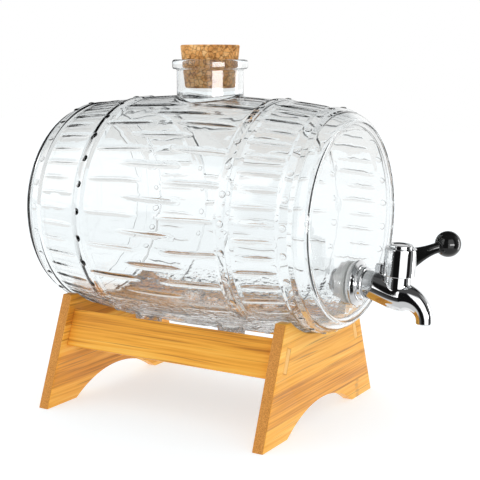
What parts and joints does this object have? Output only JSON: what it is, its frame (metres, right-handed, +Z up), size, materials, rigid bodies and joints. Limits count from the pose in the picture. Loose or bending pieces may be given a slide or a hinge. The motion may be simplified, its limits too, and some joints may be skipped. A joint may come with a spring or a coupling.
{
  "type": "glass barrel drink dispenser",
  "caption": "Moulded glass barrel lying on a bamboo stand, with a cork in its neck and a chromed quarter-turn tap with a black ball lever, for serving drinks.",
  "frame": {"origin": "on the table, under the middle of the whole object's box", "axes": "+X along the barrel towards the tap, +Z up, +Y to the left seen from behind the tap"},
  "size_m": [0.2838, 0.162, 0.25],
  "materials": {
    "bamboo": "oiled laminated bamboo",
    "glass": "clear moulded glass",
    "cork": "pressed cork granules",
    "chrome": "polished chrome plate",
    "black_plastic": "glossy black moulded plastic",
    "rubber": "matt moulded rubber",
    "silicone": "clear moulded silicone",
    "nylon": "white moulded nylon"
  },
  "bodies": {
    "stand": {"stand_front_panel": "bamboo", "stand_rear_panel": "bamboo", "stand_rail_left": "bamboo", "stand_rail_right": "bamboo"},
    "barrel": {"glass_barrel": "glass", "glass_front_head": "glass", "glass_rear_head": "glass", "glass_neck": "glass", "tap_body": "chrome", "outer_gasket": "silicone", "inner_gasket": "silicone", "slip_washer": "nylon", "shank_nut": "nylon", "plug_retaining_ring": "chrome"},
    "cork": {"cork_stopper": "cork"},
    "handle": {"handle_hub": "chrome", "lever_arm": "black_plastic", "valve_plug": "nylon", "upper_o_ring": "rubber", "lower_o_ring": "rubber", "handle_screw": "chrome", "handle_cap": "chrome"}
  },
  "joints": [
    {"name": "barrel_lift", "type": "slide", "parent": "stand", "child": "barrel", "axis": [0, 0, 1], "range_m": [0, 0.1]},
    {"name": "cork_pull", "type": "slide", "parent": "barrel", "child": "cork", "axis": [0, 0, 1], "range_m": [0, 0.04]},
    {"name": "lever_turn", "type": "hinge", "parent": "barrel", "child": "handle", "pos_m": [0.10917, 0, 0.0905], "axis": [0.0698, 0, 0.9976], "range_deg": [-52, 38]}
  ]
}
